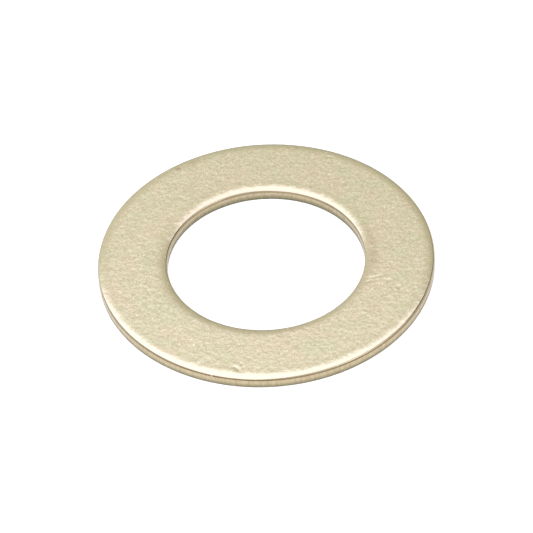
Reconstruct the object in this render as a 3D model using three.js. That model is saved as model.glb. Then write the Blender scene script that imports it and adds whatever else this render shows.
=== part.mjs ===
// Flat washer, thin pattern, for a 1/2 in or M12 bolt.
//
// Millimetres, +Z up. The origin is the centre of the bore on the underside, so the washer stands on
// Z = 0 and the Z axis is its axis of symmetry.
//
// It is one pressed piece. A compound die blanks the rim and pierces the bore in the same stroke, from
// the same side, so both edges have the same section, mirrored. From the upper face down that is:
//   - the die roll, a shallow rounded shoulder where the metal was drawn down before it sheared;
//   - the corner, where the roll turns into the wall;
//   - the burnished wall, which is the true diameter;
//   - the fracture zone, which leans back into the metal;
//   - the broken edge at the underside, where tumbling has taken the burr off.

import * as THREE from "three";

// Driving dimensions.
const OUTER_DIAMETER = 22.2;
const BORE_DIAMETER = 13.0;
const THICKNESS = 0.81;

// The press tool's marks on each edge.
const ROLL_WIDTH = 0.82; // radial reach of the die roll, from the wall to the flat of the upper face
const ROLL_SLOPE = THREE.MathUtils.degToRad(9); // how steep the roll is where it meets the corner
const CORNER_REACH = 0.1; // of the corner, from the wall into the metal
const CORNER_DROP = 0.18; // of the corner, down the wall
const FRACTURE_HEIGHT = 0.4; // top of the fracture zone above the underside
const FRACTURE_LEAN = 0.01; // how far it leans back by the time it reaches the broken edge
const EDGE_BREAK = 0.04; // radius of the broken edge at the underside

// Fineness of the faceted surface.
const SEGMENTS = 96;
const ROLL_STEPS = 5;
const CORNER_STEPS = 6;
const BREAK_STEPS = 3;

// The points of one edge's section, from the upper flat to the underside. x is the inset, the distance
// from the wall into the metal, and y is the height above the underside.
function edgeSection() {
  const cornerStart = Math.PI / 2 + Math.atan((CORNER_REACH / CORNER_DROP) * Math.tan(ROLL_SLOPE));
  const rollEnd = CORNER_REACH * (1 + Math.cos(cornerStart));
  const third = (ROLL_WIDTH - rollEnd) / 3;
  const rollDepth = Math.tan(ROLL_SLOPE) * third;
  const cornerCentre = THICKNESS - rollDepth - CORNER_DROP * Math.sin(cornerStart);

  // A cubic that leaves the flat level and straight, and reaches the corner at the roll's slope.
  const roll = new THREE.CubicBezierCurve(
    new THREE.Vector2(ROLL_WIDTH, THICKNESS),
    new THREE.Vector2(ROLL_WIDTH - third, THICKNESS),
    new THREE.Vector2(ROLL_WIDTH - 2 * third, THICKNESS),
    new THREE.Vector2(rollEnd, THICKNESS - rollDepth),
  );
  // Part of an ellipse, from the roll's slope to the upright wall.
  const corner = new THREE.EllipseCurve(
    CORNER_REACH,
    cornerCentre,
    CORNER_REACH,
    CORNER_DROP,
    cornerStart,
    Math.PI,
  );
  // A quarter round from the fracture zone to the underside.
  const brokenEdge = new THREE.EllipseCurve(
    FRACTURE_LEAN + EDGE_BREAK,
    EDGE_BREAK,
    EDGE_BREAK,
    EDGE_BREAK,
    Math.PI,
    (3 * Math.PI) / 2,
  );
  return [
    ...roll.getPoints(ROLL_STEPS).slice(0, -1),
    ...corner.getPoints(CORNER_STEPS),
    new THREE.Vector2(0, FRACTURE_HEIGHT),
    ...brokenEdge.getPoints(BREAK_STEPS),
  ];
}

// The closed section of the ring in (radius, height): up the bore, across the upper face, down the rim
// and back along the underside.
function ringSection() {
  const edge = edgeSection();
  const bore = edge.map((p) => new THREE.Vector2(BORE_DIAMETER / 2 + p.x, p.y)).reverse();
  const rim = edge.map((p) => new THREE.Vector2(OUTER_DIAMETER / 2 - p.x, p.y));
  const outline = [...bore, ...rim];
  return [...outline, outline[0].clone()].reverse();
}

// LatheGeometry turns the section about Y, so the ring is then laid down to make Z its axis.
function washer() {
  const geometry = new THREE.LatheGeometry(ringSection(), SEGMENTS);
  geometry.rotateX(Math.PI / 2);
  const paleGoldPlating = new THREE.MeshStandardMaterial({
    color: 0xdad1b4,
    roughness: 0.38,
    metalness: 1.0,
  });
  const mesh = new THREE.Mesh(geometry, paleGoldPlating);
  mesh.name = "washer";
  return mesh;
}

const part = new THREE.Group();
part.name = "flat_washer";
part.add(washer());

export default part;
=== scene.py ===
"""A thin flat washer, pressed from sheet steel, plated pale gold and tumbled, on a lit white table."""

import logging
import math
from dataclasses import dataclass, field
from enum import Enum
from typing import Any

import bpy
import numpy as np
from mathutils import Matrix, Vector


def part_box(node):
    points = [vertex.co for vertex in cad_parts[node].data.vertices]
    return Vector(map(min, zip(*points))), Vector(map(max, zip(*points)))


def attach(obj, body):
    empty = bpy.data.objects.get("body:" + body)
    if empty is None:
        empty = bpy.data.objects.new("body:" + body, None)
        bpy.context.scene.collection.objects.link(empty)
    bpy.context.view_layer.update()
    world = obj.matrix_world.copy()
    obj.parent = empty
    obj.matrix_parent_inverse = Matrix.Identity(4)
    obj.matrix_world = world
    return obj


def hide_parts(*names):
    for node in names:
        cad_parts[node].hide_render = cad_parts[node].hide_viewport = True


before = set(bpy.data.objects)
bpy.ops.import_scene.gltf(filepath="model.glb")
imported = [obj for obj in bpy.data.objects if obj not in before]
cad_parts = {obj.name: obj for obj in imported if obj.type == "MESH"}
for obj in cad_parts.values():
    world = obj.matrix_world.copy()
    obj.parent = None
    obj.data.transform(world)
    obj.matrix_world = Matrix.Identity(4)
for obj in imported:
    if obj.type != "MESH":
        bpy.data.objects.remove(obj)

LOG = logging.getLogger("flat_washer")
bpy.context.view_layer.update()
CAD_NODE = "washer"
BODY = "root"

MM = 0.001  # one millimetre in Blender's metres
MICRON = 0.000001
TURN = 2 * math.pi
NOISE_LOW = 0.3  # nearly all of a noise texture's values lie between these two
NOISE_HIGH = 0.7
ROLL_WAVES = range(2, 9)  # how many waves go round the ring in its uneven die roll
CUT_WAVES = range(2, 24)  # in its uneven cut
CREASE_WAVES = range(3, 60)  # in its patchy painted crease shade


def linear(hex_colour: str) -> tuple[float, float, float, float]:
    """Turns an sRGB hex colour into linear light.

    Args:
        hex_colour: Six hex digits, red first.

    Returns:
        Linear red, green and blue, and an alpha of 1.
    """
    encoded = [int(hex_colour[i : i + 2], 16) / 255 for i in (0, 2, 4)]
    red, green, blue = (c / 12.92 if c <= 0.04045 else ((c + 0.055) / 1.055) ** 2.4 for c in encoded)
    return red, green, blue, 1.0


def add_node(
    tree: bpy.types.NodeTree,
    kind: str,
    inputs: dict[Any, Any] | None = None,
    output: Any = 0,
    **settings: Any,
) -> bpy.types.NodeSocket:
    """Adds a shader node with its settings and links.

    Args:
        tree: The node tree that gets the node.
        kind: The node's type name.
        inputs: What each input gets, by name or number: a socket to link, or a value to set. A mix takes
            its share at 0, numbers at 2 and 3, vectors at 4 and 5, and colours at 6 and 7.
        output: The name or number of the output that is wanted.
        **settings: The node's own properties.

    Returns:
        The wanted output, or the node itself where it has no outputs.
    """
    made = tree.nodes.new(kind)
    for name, value in settings.items():
        setattr(made, name, value)
    for name, value in (inputs or {}).items():
        if isinstance(value, bpy.types.NodeSocket):
            tree.links.new(value, made.inputs[name])
        else:
            made.inputs[name].default_value = value
    return made.outputs[output] if made.outputs else made


class Zone(Enum):
    """Parts of the washer's surface, each the name of a mesh attribute that runs from 0 to 1."""

    WALL = "wall"  # the sheared wall, where the die and the punch rubbed
    FRACTURE_AND_SHADE = "fracture"  # the torn band under the burnished one, darker also as painted shade next to the table
    EDGE = "edge"  # the shoulder that tumbling polished
    CREASE_SHADE = "crease"  # painted shade along the line where the shoulder turns into the wall
    STAIN = "stain"  # brown spots where the plating is thin


# ---------------------------------------------------------------------------------------------------
# Finishes


@dataclass(frozen=True)
class Layer:
    """What one finish gives the shader."""

    colour: bpy.types.NodeSocket
    roughness: bpy.types.NodeSocket
    height: bpy.types.NodeSocket  # microns


@dataclass(frozen=True)
class TumbledPlating:
    """Barrel plating, passivated pale gold, after tumbling with other washers.

    The parts knock on each other, so the face has no grain direction. Its satin comes from a fine speckle
    of dents, with dull and bright specks between them; a few bright spots are painted highlights, as
    sparkle off the dents. The passivation drifts softly between greenish and pinkish gold. The shoulder
    stands out, so it is rubbed smoother and paler.
    """

    greenish: str = "CFCFAB"
    pinkish: str = "E3CFB2"
    dull: str = "C3B995"
    bright: str = "EEE4CB"
    shoulder: str = "DACFB3"
    # painted highlight: the colour of the bright sparkle spots
    painted_glint: str = "F8F2E0"
    roughness: float = 0.235
    roughness_spread: float = 0.08
    edge_roughness: float = 0.15
    shoulder_share: float = 0.65  # how far the shoulder takes its own colour
    shoulder_relief: float = 0.4  # how much of the relief is left on it
    glint_mm: float = 0.65  # spacing of the bright spots of painted highlight
    glint_size: float = 0.13  # radius of one painted highlight spot, as a share of that
    glint_core: float = 0.4  # how much of that radius is fully bright
    grit_mm: float = 0.15  # spacing of the specks; real ones go down to 0.03 mm, too fine to show
    grit_range: tuple[float, float] = (0.32, 0.68)  # the noise that gives dull and that gives bright
    grit_share: float = 0.65  # how much they show
    drift_mm: float = 1.2  # patches of passivation colour
    cloud_mm: float = 2.4  # broader clouds of it
    tint_range: tuple[float, float] = (0.7, 1.3)  # the two noises' sum that gives greenish and pinkish
    speckle_mm: float = 0.17  # dents from edge to edge; real ones go down to 0.02 mm, too fine to show
    speckle_height: float = 3.6  # microns
    dent_mm: float = 0.34  # spacing of the deeper knocks
    dent_height: float = 5.0  # microns

    def layer(self, tree: bpy.types.NodeTree, place: bpy.types.NodeSocket) -> Layer:
        """Builds the nodes of the plated face.

        Args:
            tree: The material's node tree.
            place: The place on the washer, in millimetres.

        Returns:
            The face's colour, roughness and relief.
        """
        edge = add_node(tree, "ShaderNodeAttribute", output="Fac", attribute_name=Zone.EDGE.value)
        speckle = add_node(
            tree,
            "ShaderNodeTexNoise",
            {"Vector": place, "Scale": 1 / self.speckle_mm, "Detail": 1.5, "Roughness": 0.6},
            "Fac",
        )
        matt = add_node(
            tree,
            "ShaderNodeMapRange",
            {
                "Value": speckle,
                "From Min": NOISE_LOW,
                "From Max": NOISE_HIGH,
                "To Min": self.roughness - self.roughness_spread / 2,
                "To Max": self.roughness + self.roughness_spread / 2,
            },
            "Result",
        )
        roughness = add_node(tree, "ShaderNodeMix", {0: edge, 2: matt, 3: self.edge_roughness})
        return Layer(self.colour(tree, place, edge), roughness, self.height(tree, place, speckle, edge))

    def colour(
        self, tree: bpy.types.NodeTree, place: bpy.types.NodeSocket, edge: bpy.types.NodeSocket
    ) -> bpy.types.NodeSocket:
        """Builds the nodes of the plating's colour.

        Args:
            tree: The material's node tree.
            place: The place on the washer, in millimetres.
            edge: How far the place is on the shoulder, from 0 to 1.

        Returns:
            The colour.
        """
        drift = add_node(
            tree, "ShaderNodeTexNoise", {"Vector": place, "Scale": 1 / self.drift_mm, "Detail": 2.0}, "Fac"
        )
        cloud = add_node(
            tree, "ShaderNodeTexNoise", {"Vector": place, "Scale": 1 / self.cloud_mm, "Detail": 3.0}, "Fac"
        )
        both = add_node(tree, "ShaderNodeMath", {0: drift, 1: cloud}, operation="ADD")
        least, most = self.tint_range
        tint = add_node(
            tree, "ShaderNodeMapRange", {"Value": both, "From Min": least, "From Max": most}, "Result"
        )
        tinted = add_node(
            tree,
            "ShaderNodeMix",
            {0: tint, 6: linear(self.greenish), 7: linear(self.pinkish)},
            2,
            data_type="RGBA",
        )
        grit = add_node(
            tree,
            "ShaderNodeTexNoise",
            {"Vector": place, "Scale": 1 / self.grit_mm, "Detail": 3.0, "Roughness": 0.7},
            "Fac",
        )
        least, most = self.grit_range
        lightness = add_node(
            tree, "ShaderNodeMapRange", {"Value": grit, "From Min": least, "From Max": most}, "Result"
        )
        specks = add_node(
            tree,
            "ShaderNodeMix",
            {0: lightness, 6: linear(self.dull), 7: linear(self.bright)},
            2,
            data_type="RGBA",
        )
        flat = add_node(
            tree, "ShaderNodeMix", {0: self.grit_share, 6: tinted, 7: specks}, 2, data_type="RGBA"
        )
        worn = add_node(tree, "ShaderNodeMath", {0: edge, 1: self.shoulder_share}, operation="MULTIPLY")
        turned = add_node(
            tree, "ShaderNodeMix", {0: worn, 6: flat, 7: linear(self.shoulder)}, 2, data_type="RGBA"
        )
        # painted highlight: bright spots laid into the colour, as sparkle off the dents
        from_glint = add_node(
            tree, "ShaderNodeTexVoronoi", {"Vector": place, "Scale": 1 / self.glint_mm}, "Distance"
        )
        painted_glint = add_node(
            tree,
            "ShaderNodeMapRange",
            {
                "Value": from_glint,
                "From Min": self.glint_size,
                "From Max": self.glint_size * self.glint_core,
            },
            "Result",
        )
        return add_node(
            tree, "ShaderNodeMix", {0: painted_glint, 6: turned, 7: linear(self.painted_glint)}, 2, data_type="RGBA"
        )

    def height(
        self,
        tree: bpy.types.NodeTree,
        place: bpy.types.NodeSocket,
        speckle: bpy.types.NodeSocket,
        edge: bpy.types.NodeSocket,
    ) -> bpy.types.NodeSocket:
        """Builds the nodes of the plating's relief.

        Args:
            tree: The material's node tree.
            place: The place on the washer, in millimetres.
            speckle: The noise of the fine dents.
            edge: How far the place is on the shoulder, from 0 to 1.

        Returns:
            The relief, in microns.
        """
        knock = add_node(
            tree,
            "ShaderNodeTexVoronoi",
            {"Vector": place, "Scale": 1 / self.dent_mm, "Smoothness": 0.35},
            "Distance",
            feature="SMOOTH_F1",
        )
        speckle_relief = add_node(
            tree, "ShaderNodeMath", {0: speckle, 1: self.speckle_height}, operation="MULTIPLY"
        )
        knock_relief = add_node(
            tree, "ShaderNodeMath", {0: knock, 1: self.dent_height}, operation="MULTIPLY"
        )
        relief = add_node(tree, "ShaderNodeMath", {0: speckle_relief, 1: knock_relief}, operation="ADD")
        kept = add_node(
            tree,
            "ShaderNodeMapRange",
            {"Value": edge, "To Min": 1.0, "To Max": self.shoulder_relief},
            "Result",
        )
        return add_node(tree, "ShaderNodeMath", {0: relief, 1: kept}, operation="MULTIPLY")


@dataclass(frozen=True)
class ShearedWall:
    """The burnished band that the die and the punch rubbed as they cut.

    The plating sits thinner and deeper gold on it, over fine drag marks along the stroke. Its colours are
    darker than the face partly as painted shade, for the dim surroundings that the wall reflects.
    """

    # deeper gold, and darker than the face partly as painted shade
    light: str = "C4B695"
    dark: str = "B0A281"
    roughness: float = 0.36
    roughness_spread: float = 0.16
    drag_mm: float = 0.16  # spacing of the drag marks; real ones are nearer 0.02 mm, too fine to show
    drag_stretch: float = 4.0  # how much longer than wide the drag marks are
    drag_height: float = 1.5  # microns

    def layer(self, tree: bpy.types.NodeTree, place: bpy.types.NodeSocket) -> Layer:
        """Builds the nodes of the burnished wall.

        Args:
            tree: The material's node tree.
            place: The place on the washer, in millimetres.

        Returns:
            The wall's colour, roughness and relief.
        """
        along = add_node(
            tree, "ShaderNodeVectorMath", {0: place, 1: (1, 1, 1 / self.drag_stretch)}, operation="MULTIPLY"
        )
        drag = add_node(
            tree, "ShaderNodeTexNoise", {"Vector": along, "Scale": 1 / self.drag_mm, "Detail": 3.0}, "Fac"
        )
        shade = add_node(
            tree,
            "ShaderNodeMapRange",
            {"Value": drag, "From Min": NOISE_LOW, "From Max": NOISE_HIGH},
            "Result",
        )
        colour = add_node(
            tree,
            "ShaderNodeMix",
            {0: shade, 6: linear(self.dark), 7: linear(self.light)},
            2,
            data_type="RGBA",
        )
        roughness = add_node(
            tree,
            "ShaderNodeMapRange",
            {
                "Value": drag,
                "To Min": self.roughness + self.roughness_spread / 2,
                "To Max": self.roughness - self.roughness_spread / 2,
            },
            "Result",
        )
        height = add_node(tree, "ShaderNodeMath", {0: drag, 1: self.drag_height}, operation="MULTIPLY")
        return Layer(colour, roughness, height)


@dataclass(frozen=True)
class FractureBandAndShade:
    """The torn band at the bottom of the cut, where the sheet broke away: grainy, matt and darker, partly
    as painted shade.
    """

    # darker in part as painted shade, where the wall meets the table
    light: str = "7C7860"
    dark: str = "514F3B"
    roughness: float = 0.5
    roughness_spread: float = 0.2
    grain_mm: float = 0.12  # torn grains; real ones are nearer 0.03 mm, too fine to show
    grain_height: float = 5.0  # microns

    def layer(self, tree: bpy.types.NodeTree, place: bpy.types.NodeSocket) -> Layer:
        """Builds the nodes of the fracture band.

        Args:
            tree: The material's node tree.
            place: The place on the washer, in millimetres.

        Returns:
            The band's colour, roughness and relief.
        """
        grain = add_node(
            tree, "ShaderNodeTexNoise", {"Vector": place, "Scale": 1 / self.grain_mm, "Detail": 3.0}, "Fac"
        )
        shade = add_node(
            tree,
            "ShaderNodeMapRange",
            {"Value": grain, "From Min": NOISE_LOW, "From Max": NOISE_HIGH},
            "Result",
        )
        colour = add_node(
            tree,
            "ShaderNodeMix",
            {0: shade, 6: linear(self.dark), 7: linear(self.light)},
            2,
            data_type="RGBA",
        )
        roughness = add_node(
            tree,
            "ShaderNodeMapRange",
            {
                "Value": grain,
                "To Min": self.roughness - self.roughness_spread / 2,
                "To Max": self.roughness + self.roughness_spread / 2,
            },
            "Result",
        )
        height = add_node(tree, "ShaderNodeMath", {0: grain, 1: self.grain_height}, operation="MULTIPLY")
        return Layer(colour, roughness, height)


@dataclass(frozen=True)
class PlatedSteel:
    """The washer's whole finish: tumbled plating on the faces, and the two bands of the cut on the walls.

    A dark brown line of painted shade runs along the crease where the shoulder meets the wall. A
    few brown spots show where the plating is thin.
    """

    face: TumbledPlating = TumbledPlating()
    wall: ShearedWall = ShearedWall()
    fracture: FractureBandAndShade = FractureBandAndShade()
    stain_colour: str = "A98A66"
    # painted shade: the dark brown of the line where the shoulder meets the wall
    crease_shade_colour: str = "5E3A10"

    def blend(
        self, tree: bpy.types.NodeTree, share: bpy.types.NodeSocket, under: Layer, over: Layer
    ) -> Layer:
        """Lays one finish over another.

        Args:
            tree: The material's node tree.
            share: How much of the upper finish shows, from 0 to 1.
            under: The lower finish.
            over: The upper finish.

        Returns:
            The blended finish.
        """
        return Layer(
            add_node(
                tree, "ShaderNodeMix", {0: share, 6: under.colour, 7: over.colour}, 2, data_type="RGBA"
            ),
            add_node(tree, "ShaderNodeMix", {0: share, 2: under.roughness, 3: over.roughness}),
            add_node(tree, "ShaderNodeMix", {0: share, 2: under.height, 3: over.height}),
        )

    def build(self) -> bpy.types.Material:
        """Builds the material.

        Returns:
            Pale gold plated steel.
        """
        material = bpy.data.materials.new("tumbled_gold_plated_steel")
        material.use_nodes = True
        tree = material.node_tree
        tree.nodes.clear()
        metres = add_node(tree, "ShaderNodeTexCoord", output="Object")
        place = add_node(tree, "ShaderNodeVectorMath", {0: metres, 3: 1 / MM}, operation="SCALE")
        zones = {
            zone: add_node(tree, "ShaderNodeAttribute", output="Fac", attribute_name=zone.value)
            for zone in (Zone.WALL, Zone.FRACTURE_AND_SHADE, Zone.STAIN, Zone.CREASE_SHADE)
        }
        finish = self.blend(
            tree, zones[Zone.WALL], self.face.layer(tree, place), self.wall.layer(tree, place)
        )
        finish = self.blend(tree, zones[Zone.FRACTURE_AND_SHADE], finish, self.fracture.layer(tree, place))
        colour = finish.colour
        # the stains are the metal's own colour; the crease tint is painted shade
        for zone, tint in ((Zone.STAIN, self.stain_colour), (Zone.CREASE_SHADE, self.crease_shade_colour)):
            colour = add_node(
                tree, "ShaderNodeMix", {0: zones[zone], 6: colour, 7: linear(tint)}, 2, data_type="RGBA"
            )
        bump = add_node(
            tree, "ShaderNodeBump", {"Height": finish.height, "Distance": MICRON, "Strength": 1.0}, "Normal"
        )
        surface = add_node(
            tree,
            "ShaderNodeBsdfPrincipled",
            {"Base Color": colour, "Metallic": 1.0, "Roughness": finish.roughness, "Normal": bump},
        )
        add_node(tree, "ShaderNodeOutputMaterial", {"Surface": surface})
        return material


@dataclass(frozen=True)
class OpalTable:
    """Cast opal acrylic, lit from below: plain white, with only a thin shadow where a thing touches it.

    It can be seen through from below, so that the washer's underside can be looked at.
    """

    colour: str = "FFFFFF"
    glow: float = 0.74  # light from inside
    diffuse: float = 0.52  # share of the light on it that it scatters back

    def build(self) -> bpy.types.Material:
        """Builds the material.

        Returns:
            Lit white acrylic.
        """
        material = bpy.data.materials.new("cast_opal_acrylic")
        material.use_nodes = True
        tree = material.node_tree
        tree.nodes.clear()
        scattered = tuple(self.diffuse * c for c in linear(self.colour)[:3]) + (1.0,)
        top = add_node(tree, "ShaderNodeBsdfDiffuse", {"Color": scattered})
        light = add_node(
            tree, "ShaderNodeEmission", {"Color": linear(self.colour), "Strength": self.glow}
        )
        both = add_node(tree, "ShaderNodeAddShader", {0: top, 1: light})
        below = add_node(tree, "ShaderNodeNewGeometry", output="Backfacing")
        clear = add_node(tree, "ShaderNodeBsdfTransparent")
        one_sided = add_node(tree, "ShaderNodeMixShader", {0: below, 1: both, 2: clear})
        add_node(tree, "ShaderNodeOutputMaterial", {"Surface": one_sided})
        return material


# ---------------------------------------------------------------------------------------------------
# The washer


@dataclass(frozen=True)
class Outline:
    """Points down one edge, from the upper flat to the underside, at every angle round the ring.

    The arrays have one row for each point and one column for each angle.
    """

    inset: np.ndarray  # distance from the wall into the metal, mm
    height: np.ndarray  # above the underside, mm
    wall: np.ndarray  # this and the next three are zones, with one value for each point
    fracture: np.ndarray
    edge: np.ndarray
    # painted shade along the crease, from 0 to 1
    crease: np.ndarray


@dataclass(frozen=True)
class PressedEdge:
    """The section that a compound die leaves on the rim and on the bore. Sizes are in millimetres."""

    roll_width: float = 0.84  # radial reach of the die roll, from the wall to the flat of the upper face
    roll_slope: float = math.radians(9)  # how steep the roll is where it meets the corner
    roll_lean: float = 0.0  # how much wider the roll is on the side where the die had more clearance
    lean_angle: float = math.radians(100)  # where that side is, from +X
    corner_reach: float = 0.1  # of the corner, from the wall into the metal
    corner_drop: float = 0.18  # of the corner, down the wall
    fracture_height: float = 0.3  # of the fracture zone's top, above the underside
    fracture_lean: float = 0.015  # how far it leans back by the time it reaches the broken edge
    edge_break: float = 0.05  # radius of the broken edge at the underside
    crease_height: float = 0.65  # of the painted crease shade's darkest line, above the underside
    crease_spread: float = 0.033  # how softly it ends downwards
    crease_fade: float = 0.08  # and upwards
    crease_shade_depth: float = 1.0  # how dark the painted crease shade is, from 0 to 1
    fracture_shade_depth: float = 1.0  # how much of the torn metal's colour and its painted shade shows, from 0 to 1
    roll_steps: int = 14
    corner_steps: int = 12
    wall_steps: int = 6
    fracture_steps: int = 5
    break_steps: int = 4

    def outline(self, thickness: float, reach: np.ndarray) -> Outline:
        """Works out the edge's points.

        Args:
            thickness: The sheet's thickness.
            reach: How wide the die roll is at each angle, as a share of roll_width.

        Returns:
            The points from the last one of the upper flat to the first one of the underside.
        """
        start = math.pi / 2 + math.atan(self.corner_reach / self.corner_drop * math.tan(self.roll_slope))
        roll_end = self.corner_reach * (1 + math.cos(start))
        width = self.roll_width * reach - roll_end
        drop = math.tan(self.roll_slope) * width / 3  # a cubic, level at the flat
        centre = thickness - drop - self.corner_drop * math.sin(start)
        foot = self.fracture_lean + self.edge_break
        ones = np.ones_like(reach)

        rolled = np.linspace(0, 1, self.roll_steps + 1)[:-1, None]
        turned = np.linspace(start, math.pi, self.corner_steps + 1)[:, None]
        rubbed = np.linspace(0, 1, self.wall_steps + 1)[1:, None]
        torn = np.linspace(0, 1, self.fracture_steps + 1)[1:, None]
        broken = np.linspace(math.pi, 1.5 * math.pi, self.break_steps + 1)[1:, None]

        inset = [
            roll_end + width * (1 - rolled),
            self.corner_reach * (1 + np.cos(turned)) * ones,
            0 * rubbed * ones,
            self.fracture_lean * torn * ones,
            (foot + self.edge_break * np.cos(broken)) * ones,
        ]
        height = [
            thickness - drop * rolled**3,
            centre + self.corner_drop * np.sin(turned),
            centre + (self.fracture_height - centre) * rubbed,
            (self.fracture_height + (self.edge_break - self.fracture_height) * torn) * ones,
            (self.edge_break + self.edge_break * np.sin(broken)) * ones,
        ]
        on_wall = [
            0 * rolled,
            np.linspace(0, 1, len(turned))[:, None] ** 5,
            1 + 0 * rubbed,
            1 + 0 * torn,
            1 + 0 * broken,
        ]
        # the torn band's share; it stays full round the broken edge as painted shade where the wall meets
        # the table
        on_fracture = [
            0 * rolled,
            0 * turned,
            0 * rubbed,
            self.fracture_shade_depth * torn,
            self.fracture_shade_depth * (1 + 0 * broken),
        ]
        on_edge = [rolled, 1 + 0 * turned, 0 * rubbed, 0 * torn, 0.5 + 0 * broken]
        heights = np.vstack(height)
        # a band of painted shade, darkest at crease_height
        above_crease = heights.mean(1) - self.crease_height
        from_crease = above_crease / np.where(above_crease > 0, self.crease_fade, self.crease_spread)
        return Outline(
            np.vstack(inset),
            heights,
            np.vstack(on_wall)[:, 0],
            np.vstack(on_fracture)[:, 0],
            np.vstack(on_edge)[:, 0],
            self.crease_shade_depth * np.exp(-(from_crease**2)),
        )


@dataclass(frozen=True)
class Knock:
    """One mark in the metal, or one spot on it. Sizes are in millimetres."""

    radius: float  # from the bore's axis
    angle: float  # degrees from +X
    length: float
    width: float
    depth: float = 0.0  # into the metal
    heading: float = 0.0  # of its length, degrees from the direction round the ring
    bow: float = 0.0  # how far its middle bends away
    stain: float = 0.0  # how brown it is, from 0 to 1
    scrape: float = 0.0  # how much of the painted crease shade it takes away, from 0 to 1


@dataclass
class Surface:
    """The ring's points, as rows along the section and columns round the ring, in millimetres."""

    radius: np.ndarray
    height: np.ndarray
    angle: np.ndarray  # one value for each column
    run: np.ndarray  # distance along the section from the start of the bore's wall
    zones: dict[Zone, np.ndarray]


@dataclass
class Washer:
    """The pressed ring, turned from its section and then knocked about. Sizes are in millimetres."""

    outer_radius: float
    bore_radius: float
    thickness: float
    rim_edge: PressedEdge = PressedEdge(
        roll_width=0.8,
        roll_lean=0.06,
        lean_angle=math.radians(270),
        fracture_height=0.38,
        fracture_shade_depth=0.8,
    )
    bore_edge: PressedEdge = PressedEdge(
        roll_width=0.86,
        roll_lean=0.2,
        lean_angle=math.radians(125),
        # a taller, darker torn band in the bore, partly painted shade near the table
        fracture_height=0.52,
        fracture_lean=0.006,
        edge_break=0.035,
        # a softer, lighter line of painted crease shade in the bore
        crease_height=0.66,
        crease_spread=0.075,
        crease_fade=0.09,
        crease_shade_depth=0.72,
        fracture_shade_depth=0.95,
    )
    finish: PlatedSteel = field(default_factory=PlatedSteel)
    segments: int = 768
    upper_steps: int = 30
    under_steps: int = 16
    seed: int = 7
    roll_unevenness: float = 0.06  # share of the die roll's width
    cut_unevenness: float = 0.008
    crease_unevenness: float = 0.15  # share of the painted crease shade's depth
    tumbling_knocks: int = 900
    knock_width: tuple[float, float] = (0.24, 0.55)
    knock_stretch: tuple[float, float] = (1.0, 1.8)  # length, as a share of the width
    knock_depth: tuple[float, float] = (0.0005, 0.002)
    layout_gap: float = 0.006  # between strips of the flat layout, as a share of its width

    def ripple(self, angle: np.ndarray, orders: range, rng: np.random.Generator) -> np.ndarray:
        """Makes a smooth random wave round the ring.

        Args:
            angle: Where to give its value, in radians.
            orders: How many waves go round the ring.
            rng: The source of chance.

        Returns:
            A value for each angle, from 0 to 1.
        """
        phases = rng.uniform(0, TURN, len(orders))
        sizes = rng.uniform(0.4, 1.0, len(orders)) / np.sqrt(np.arange(1, len(orders) + 1))
        waves = sum(s * np.cos(k * angle + p) for k, s, p in zip(orders, sizes, phases))
        return (waves - waves.min()) / (waves.max() - waves.min())

    def surface(self) -> Surface:
        """Turns the section into a clean ring.

        Returns:
            The ring before any knocks.
        """
        rng = np.random.default_rng(self.seed)
        angle = np.arange(self.segments) * TURN / self.segments
        bore, rim = (
            edge.outline(
                self.thickness,
                1
                + edge.roll_lean * np.cos(angle - edge.lean_angle)
                + self.roll_unevenness * (2 * self.ripple(angle, ROLL_WAVES, rng) - 1),
            )
            for edge in (self.bore_edge, self.rim_edge)
        )
        bore_cut, rim_cut = (self.cut_unevenness * self.ripple(angle, CUT_WAVES, rng) for _ in range(2))
        bore_radius = self.bore_radius + bore.inset + bore_cut
        rim_radius = self.outer_radius - rim.inset - rim_cut

        upper = np.linspace(0, 1, self.upper_steps + 1)[1:-1, None]
        under = np.linspace(0, 1, self.under_steps + 1)[1:-1, None]
        radius = np.vstack(
            [
                bore_radius[::-1],
                bore_radius[0] + (rim_radius[0] - bore_radius[0]) * upper,
                rim_radius,
                rim_radius[-1] + (bore_radius[-1] - rim_radius[-1]) * under,
            ]
        )
        flat = np.ones(self.segments)
        height = np.vstack(
            [bore.height[::-1], self.thickness * flat + 0 * upper, rim.height, 0 * flat + 0 * under]
        )
        mean_radius = radius.mean(1)
        mean_height = height.mean(1)
        steps = np.hypot(np.diff(mean_radius), np.diff(mean_height))
        upper_zeros = np.zeros(len(upper))
        under_zeros = np.zeros(len(under))
        zones = {
            Zone.WALL: np.concatenate([bore.wall[::-1], upper_zeros, rim.wall, under_zeros]),
            Zone.FRACTURE_AND_SHADE: np.concatenate([bore.fracture[::-1], upper_zeros, rim.fracture, under_zeros]),
            Zone.EDGE: np.concatenate([bore.edge[::-1], upper_zeros, rim.edge, under_zeros]),
            Zone.CREASE_SHADE: np.concatenate([bore.crease[::-1], upper_zeros, rim.crease, under_zeros]),
        }
        zones = {zone: np.repeat(value[:, None], self.segments, 1) for zone, value in zones.items()}
        # patches where the painted crease shade is lighter
        patchy = self.ripple(angle, CREASE_WAVES, rng)
        zones[Zone.CREASE_SHADE] *= 1 - self.crease_unevenness * (1 - patchy)
        zones[Zone.STAIN] = np.zeros_like(radius)
        return Surface(radius, height, angle, np.concatenate([[0], np.cumsum(steps)]), zones)

    def sink(self, surface: Surface, depth: np.ndarray) -> None:
        """Moves the surface into the metal.

        Args:
            surface: The ring, which is changed.
            depth: How far each point goes in, in millimetres.
        """
        along_radius = np.roll(surface.radius, -1, 0) - np.roll(surface.radius, 1, 0)
        along_height = np.roll(surface.height, -1, 0) - np.roll(surface.height, 1, 0)
        length = np.hypot(along_radius, along_height)
        surface.radius += depth * along_height / length
        surface.height -= depth * along_radius / length

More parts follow.
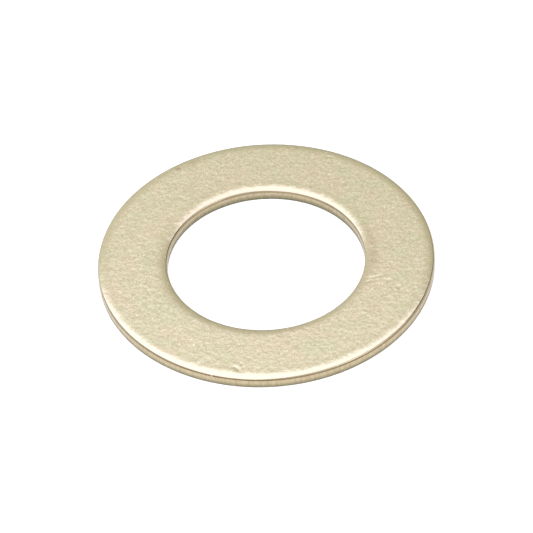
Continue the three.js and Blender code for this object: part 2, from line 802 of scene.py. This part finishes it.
    def footprint(self, surface: Surface, knock: Knock, run: float) -> np.ndarray:
        """Works out how much of a knock reaches each point.

        Args:
            surface: The ring.
            knock: The mark.
            run: Where along the section the mark lies.

        Returns:
            A share from 0 to 1 for each point.
        """
        turn = (surface.angle - math.radians(knock.angle) + math.pi) % TURN - math.pi
        round_ring = (turn * knock.radius)[None, :]
        across = (surface.run - run)[:, None]
        heading = math.radians(knock.heading)
        lengthwise = round_ring * math.cos(heading) + across * math.sin(heading)
        sideways = across * math.cos(heading) - round_ring * math.sin(heading)
        share = lengthwise / (knock.length / 2)
        sideways = sideways - knock.bow * (1 - share**2)
        return np.exp(-(share**4) - (2 * sideways / knock.width) ** 2)

    def tumble(self, surface: Surface) -> None:
        """Knocks the ring all over, as its neighbours did in the barrel.

        Args:
            surface: The ring, which is changed.
        """
        rng = np.random.default_rng(self.seed + 1)
        depth = np.zeros_like(surface.radius)
        mean_radius = surface.radius.mean(1)
        for _ in range(self.tumbling_knocks):
            row = rng.integers(0, len(surface.run))
            across = rng.uniform(*self.knock_width)
            knock = Knock(
                radius=mean_radius[row],
                angle=rng.uniform(0, 360),
                length=across * rng.uniform(*self.knock_stretch),
                width=across,
                heading=rng.uniform(0, 180),
            )
            near = np.abs(surface.run - surface.run[row]) < 2 * across
            patch = Surface(
                surface.radius[near], surface.height[near], surface.angle, surface.run[near], {}
            )
            depth[near] += rng.uniform(*self.knock_depth) * self.footprint(patch, knock, surface.run[row])
        self.sink(surface, depth)

    def mark(self, surface: Surface, knocks: list[Knock]) -> None:
        """Adds the marks that this washer has of its own.

        Args:
            surface: The ring, which is changed.
            knocks: The marks, all on the upper face or its shoulders.
        """
        mean_radius = surface.radius.mean(1)
        upper = np.where(surface.height.mean(1) > self.thickness / 2, mean_radius, np.inf)
        depth = np.zeros_like(surface.radius)
        for knock in knocks:
            row = int(np.argmin(np.abs(upper - knock.radius)))
            reach = self.footprint(surface, knock, surface.run[row])
            depth += knock.depth * reach
            surface.zones[Zone.STAIN] = np.maximum(surface.zones[Zone.STAIN], knock.stain * reach)
            # a nick breaks the line of painted crease shade
            surface.zones[Zone.CREASE_SHADE] *= 1 - knock.scrape * reach
        self.sink(surface, depth)

    def mesh(self, surface: Surface) -> bpy.types.Mesh:
        """Makes the closed mesh, its zones and its flat layout.

        Args:
            surface: The finished ring.

        Returns:
            The mesh, in metres.
        """
        rows, columns = surface.radius.shape
        x = surface.radius * np.cos(surface.angle)
        y = surface.radius * np.sin(surface.angle)
        points = np.stack([x, y, surface.height], 2).reshape(-1, 3) * MM
        row, column = np.meshgrid(np.arange(rows), np.arange(columns), indexing="ij")
        next_row = (row + 1) % rows
        next_column = (column + 1) % columns
        corners = [(row, column), (row, next_column), (next_row, next_column), (next_row, column)]
        faces = np.stack([r * columns + c for r, c in corners], 2).reshape(-1, 4)
        mesh = bpy.data.meshes.new(CAD_NODE + "_ring")
        mesh.from_pydata(points, [], faces)
        mesh.shade_smooth()
        for zone, value in surface.zones.items():
            stored = mesh.attributes.new(zone.value, "FLOAT", "POINT")
            stored.data.foreach_set("value", value.reshape(-1).astype(np.float32))
        self.lay_out(mesh, surface, row.reshape(-1), column.reshape(-1))
        return mesh

    def lay_out(self, mesh: bpy.types.Mesh, surface: Surface, row: np.ndarray, column: np.ndarray) -> None:
        """Lays the surface out flat, as half rings unrolled into straight strips.

        Args:
            mesh: The mesh, which gets the layout.
            surface: The ring.
            row: Each face's row.
            column: Each face's column.
        """
        rows, columns = surface.radius.shape
        last_upper = rows - self.under_steps
        gap = self.layout_gap
        total = surface.run[-1] + surface.run[1]
        run = np.append(surface.run, total)
        upper_span = run[last_upper]
        under_span = total - upper_span
        scale = (1 - 4 * gap) / (2 * (upper_span + under_span))
        half = column // (columns // 2)
        under = row >= last_upper
        start = np.where(under, upper_span, 0.0)
        base = np.where(under, 2 * upper_span, 0.0) + half * np.where(under, under_span, upper_span)
        strip = 2 * under + half
        low = gap / 2 + strip * gap + scale * (base + run[row] - start)
        high = gap / 2 + strip * gap + scale * (base + run[row + 1] - start)
        left = (column % (columns // 2)) / (columns / 2)
        right = left + 2 / columns
        left = gap / 2 + (1 - gap) * left
        right = gap / 2 + (1 - gap) * right
        places = np.stack([left, low, right, low, right, high, left, high], 1)
        layout = mesh.uv_layers.new(name="OFBake")
        layout.data.foreach_set("uv", places.reshape(-1).astype(np.float32))

    def build(self, knocks: list[Knock]) -> bpy.types.Object:
        """Builds and dresses the washer.

        Args:
            knocks: The marks of its own.

        Returns:
            The finished piece.
        """
        surface = self.surface()
        self.tumble(surface)
        self.mark(surface, knocks)
        piece = bpy.data.objects.new("washer_ring", self.mesh(surface))
        bpy.context.scene.collection.objects.link(piece)
        piece.data.materials.append(self.finish.build())
        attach(piece, BODY)
        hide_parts(CAD_NODE)
        return piece


def washer_from_frame() -> Washer:
    """Takes the washer's sizes from its CAD solid.

    Returns:
        A washer that fills the same space.
    """
    low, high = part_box(CAD_NODE)
    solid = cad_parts[CAD_NODE].data
    from_axis = [math.hypot(vertex.co.x, vertex.co.y) for vertex in solid.vertices]
    return Washer(
        outer_radius=(high.x - low.x) / 2 / MM, bore_radius=min(from_axis) / MM, thickness=high.z / MM
    )


# ---------------------------------------------------------------------------------------------------
# The studio


@dataclass
class Studio:
    """A lit white table in a plain room, two softboxes and a camera on a long lens. Sizes are in metres."""

    camera_distance: float = 0.4098
    camera_elevation: float = math.radians(44.32)
    camera_roll: float = math.radians(3.61)
    camera_rise: float = 0.00007  # how far the view's centre lies above the washer's origin
    clip_start: float = 0.01
    lens: float = 420.3  # mm, on a sensor 36 mm wide
    softbox_height: float = 0.6
    softbox_turn: float = math.radians(-13.2)
    softbox_reach: tuple[float, float, float, float] = (
        -1.5,
        0.18,
        -3.0,
        0.858,
    )  # how far it reaches to the left, right, front and back, as shares of its height
    softbox_radiance: float = 1.45
    softbox_colour: tuple[float, float, float] = (0.68, 0.70, 1.0)  # daylight, next to a warm room
    side_size: tuple[float, float] = (0.95, 0.6)  # width and height
    side_distance: float = 1.0
    side_turn: float = math.radians(-18)  # from +X, so it stands at the camera's right
    side_elevation: float = math.radians(36)
    side_radiance: float = 1.0
    side_colour: tuple[float, float, float] = (0.97, 0.97, 1.0)
    room_level: tuple[float, float, float] = (-0.56, -0.42, -0.53)
    room_slopes: tuple[tuple[float, float, float], ...] = (
        (-0.65, -0.70, -0.75),
        (0.78, 0.73, 0.85),
        (1.17, 1.01, 0.90),
    )  # how the room's red, green and blue grow along X, Y and Z
    horizon_colour: tuple[float, float, float] = (0.56, 0.55, 0.52)
    horizon_band: tuple[float, float] = (0.12, 0.38)  # sines of the elevations between which it fades out
    near_side_level: float = 0.95  # of the wall behind the camera
    near_side_edge: float = 0.5  # cosine of the angle from the camera's heading where it is full
    table_size: float = 12.0

    def camera(self) -> bpy.types.Object:
        """Sets up the camera.

        Returns:
            The camera.
        """
        back = Vector((0, -math.cos(self.camera_elevation), math.sin(self.camera_elevation)))
        level_up = Vector((0, math.sin(self.camera_elevation), math.cos(self.camera_elevation)))
        level_right = Vector((1, 0, 0))
        right = math.cos(self.camera_roll) * level_right - math.sin(self.camera_roll) * level_up
        up = math.sin(self.camera_roll) * level_right + math.cos(self.camera_roll) * level_up
        data = bpy.data.cameras.new("camera")
        data.lens = self.lens
        data.clip_start = self.clip_start
        camera = bpy.data.objects.new("camera", data)
        camera.matrix_world = Matrix.Translation(
            self.camera_distance * back + self.camera_rise * up
        ) @ Matrix((right, up, back)).transposed().to_4x4()
        bpy.context.scene.collection.objects.link(camera)
        bpy.context.scene.camera = camera
        return camera

    def area_light(
        self,
        name: str,
        size: tuple[float, float],
        colour: tuple[float, float, float],
        radiance: float,
        place: Matrix,
    ) -> bpy.types.Object:
        """Makes one softbox, which shines along its own -Z.

        Args:
            name: Its name.
            size: Its width and height.
            colour: Its colour, in linear light.
            radiance: How bright its face is.
            place: Where it is and how it is turned.

        Returns:
            The light.
        """
        light = bpy.data.lights.new(name, "AREA")
        light.shape = "RECTANGLE"
        light.size, light.size_y = size
        light.color = colour
        light.energy = radiance * math.pi * light.size * light.size_y
        softbox = bpy.data.objects.new(name, light)
        softbox.matrix_world = place
        bpy.context.scene.collection.objects.link(softbox)
        return softbox

    def softbox(self) -> bpy.types.Object:
        """Hangs the big softbox overhead.

        Returns:
            The light.
        """
        left, right, front, rear = (reach * self.softbox_height for reach in self.softbox_reach)
        place = Matrix.Rotation(self.softbox_turn, 4, "Z") @ Matrix.Translation(
            ((left + right) / 2, (front + rear) / 2, self.softbox_height)
        )
        size = (right - left, rear - front)
        return self.area_light("softbox", size, self.softbox_colour, self.softbox_radiance, place)

    def side_softbox(self) -> bpy.types.Object:
        """Stands a smaller softbox at the camera's right.

        Returns:
            The light.
        """
        place = (
            Matrix.Rotation(self.side_turn, 4, "Z")
            @ Matrix.Rotation(math.pi / 2 - self.side_elevation, 4, "Y")
            @ Matrix.Translation((0, 0, self.side_distance))
            @ Matrix.Rotation(math.pi / 2, 4, "Z")
        )
        return self.area_light("side_softbox", self.side_size, self.side_colour, self.side_radiance, place)

    def room(self) -> bpy.types.World:
        """Makes the room: brighter upwards and to the back, plain near the horizon, bright at the camera.

        Returns:
            The world, which the camera itself sees as white.
        """
        world = bpy.data.worlds.new("room")
        world.use_nodes = True
        tree = world.node_tree
        tree.nodes.clear()
        direction = add_node(tree, "ShaderNodeTexCoord", output="Generated")
        brightness = self.room_level
        for axis, (slope, name) in enumerate(zip(self.room_slopes, "XYZ")):
            share = add_node(tree, "ShaderNodeSeparateXYZ", {0: direction}, name)
            brightness = add_node(
                tree, "ShaderNodeVectorMath", {0: share, 1: slope, 2: brightness}, operation="MULTIPLY_ADD"
            )
        level = add_node(tree, "ShaderNodeVectorMath", {0: direction, 1: (1, 1, 0)}, operation="MULTIPLY")
        heading = add_node(tree, "ShaderNodeVectorMath", {0: level}, operation="NORMALIZE")
        to_camera = add_node(
            tree, "ShaderNodeVectorMath", {0: heading, 1: (0, -1, 0)}, "Value", operation="DOT_PRODUCT"
        )
        near_side = add_node(
            tree,
            "ShaderNodeMapRange",
            {"Value": to_camera, "From Max": self.near_side_edge, "To Max": self.near_side_level},
            "Result",
        )
        rise = add_node(tree, "ShaderNodeSeparateXYZ", {0: direction}, "Z")
        low, high = self.horizon_band
        horizon = add_node(
            tree,
            "ShaderNodeMapRange",
            {"Value": rise, "From Min": high, "From Max": low},
            "Result",
            interpolation_type="SMOOTHSTEP",
        )
        walled = add_node(
            tree,
            "ShaderNodeMix",
            {0: horizon, 4: brightness, 5: self.horizon_colour},
            1,
            data_type="VECTOR",
        )
        lifted = add_node(tree, "ShaderNodeVectorMath", {0: walled, 1: near_side}, operation="MAXIMUM")
        capped = add_node(tree, "ShaderNodeVectorMath", {0: lifted, 1: (1, 1, 1)}, operation="MINIMUM")
        walls = add_node(tree, "ShaderNodeBackground", {"Color": capped, "Strength": 1.0})
        table = add_node(tree, "ShaderNodeBackground", {"Color": (1, 1, 1, 1), "Strength": 1.0})
        seen = add_node(tree, "ShaderNodeLightPath", output="Is Camera Ray")
        both = add_node(tree, "ShaderNodeMixShader", {0: seen, 1: walls, 2: table})
        add_node(tree, "ShaderNodeOutputWorld", {"Surface": both})
        bpy.context.scene.world = world
        return world

    def table(self) -> bpy.types.Object:
        """Lays the table under the washer.

        Returns:
            The table top.
        """
        half = self.table_size / 2
        mesh = bpy.data.meshes.new("table")
        corners = [(-half, -half, 0), (half, -half, 0), (half, half, 0), (-half, half, 0)]
        mesh.from_pydata(corners, [], [(0, 1, 2, 3)])
        table = bpy.data.objects.new("table", mesh)
        table.data.materials.append(OpalTable().build())
        bpy.context.scene.collection.objects.link(table)
        return table

    def build(self) -> None:
        """Sets up the camera, the lights and the table."""
        self.camera()
        self.softbox()
        self.side_softbox()
        self.room()
        self.table()
        bpy.context.scene.view_settings.view_transform = "Standard"


MARKS = [
    Knock(radius=11.09, angle=248.9, length=0.5, width=0.12, depth=0.015, heading=90, scrape=0.7),
    Knock(
        radius=10.38, angle=256.5, length=0.62, width=0.22, depth=0.014, heading=35, bow=-0.1, stain=0.25
    ),
    Knock(radius=9.95, angle=258.0, length=0.25, width=0.18, depth=0.012, heading=80, stain=0.2),
    Knock(radius=10.03, angle=245.5, length=0.3, width=0.16, depth=0.01, heading=70),
    Knock(radius=7.55, angle=341.5, length=1.1, width=0.17, depth=0.008, heading=60),
    Knock(radius=7.4, angle=338.1, length=0.55, width=0.17, depth=0.012, heading=52),
    Knock(radius=8.43, angle=341.2, length=0.4, width=0.17, depth=0.01, heading=80),
    Knock(radius=9.18, angle=338.2, length=0.4, width=0.18, depth=0.015, heading=5, stain=0.2),
    Knock(radius=9.86, angle=336.7, length=0.2, width=0.2, depth=0.008),
    Knock(radius=7.15, angle=2.0, length=4.5, width=0.8, stain=0.2),
    Knock(radius=10.62, angle=120.9, length=0.35, width=0.3, stain=0.6),
    Knock(radius=10.5, angle=114.4, length=0.8, width=0.5, stain=0.25),
    Knock(radius=10.6, angle=109.0, length=0.7, width=0.2, depth=0.01, heading=-10),
    Knock(radius=9.6, angle=126.8, length=0.35, width=0.2, depth=0.01, heading=15),
    Knock(radius=10.87, angle=76.1, length=0.35, width=0.2, depth=0.01, heading=10),
    Knock(radius=10.45, angle=63.3, length=0.5, width=0.22, depth=0.01, heading=-10),
]


def main() -> None:
    """Builds the studio and the washer."""
    logging.basicConfig(level=logging.INFO, format="%(name)s: %(message)s")
    Studio().build()
    LOG.info("studio: camera, two softboxes, room and table")
    washer = washer_from_frame()
    piece = washer.build(MARKS)
    LOG.info("%s: %d faces, rides on %s", piece.name, len(piece.data.polygons), BODY)


if __name__ == "__main__":
    main()
